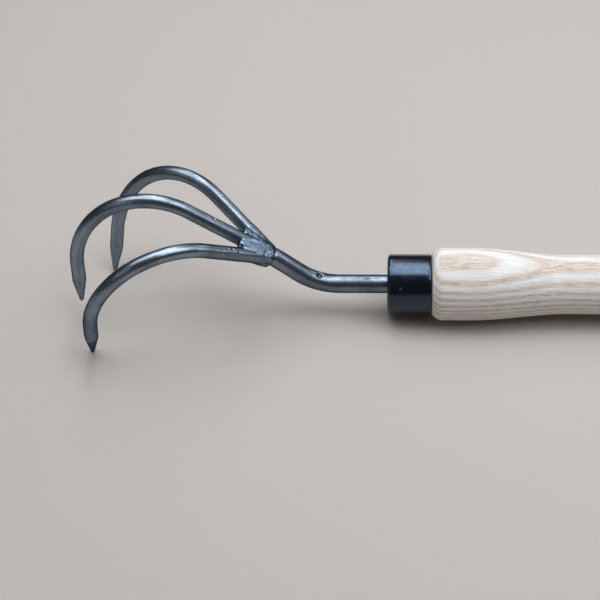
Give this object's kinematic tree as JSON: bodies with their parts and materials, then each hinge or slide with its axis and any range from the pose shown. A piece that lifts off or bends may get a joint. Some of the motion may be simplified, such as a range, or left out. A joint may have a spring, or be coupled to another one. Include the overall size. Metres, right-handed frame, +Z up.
{
  "type": "garden cultivator",
  "caption": "Hand-held soil cultivator: bent steel tines welded to a cranked neck rod, with its tang in a ferruled, turned ash handle.",
  "frame": {"origin": "centre of the bounding box in X and Y, on the surface that the cultivator lies on", "axes": "+X along the handle towards its butt, +Z up from the surface, tines on the -X side with their tips down; +Y is the right-hand side seen from the butt"},
  "size_m": [0.612, 0.088, 0.0744],
  "materials": {
    "ash_wood": "bare turned ash, matte",
    "black_paint": "black paint on drawn steel, satin gloss",
    "blackened_steel": "blue-black mill scale, satin",
    "weld_metal": "rippled weld metal, satin"
  },
  "bodies": {
    "root": {"handle": "ash_wood", "ferrule": "black_paint", "neck_rod": "blackened_steel", "tine_left": "blackened_steel", "tine_middle": "blackened_steel", "tine_right": "blackened_steel", "weld": "weld_metal"}
  },
  "joints": []
}
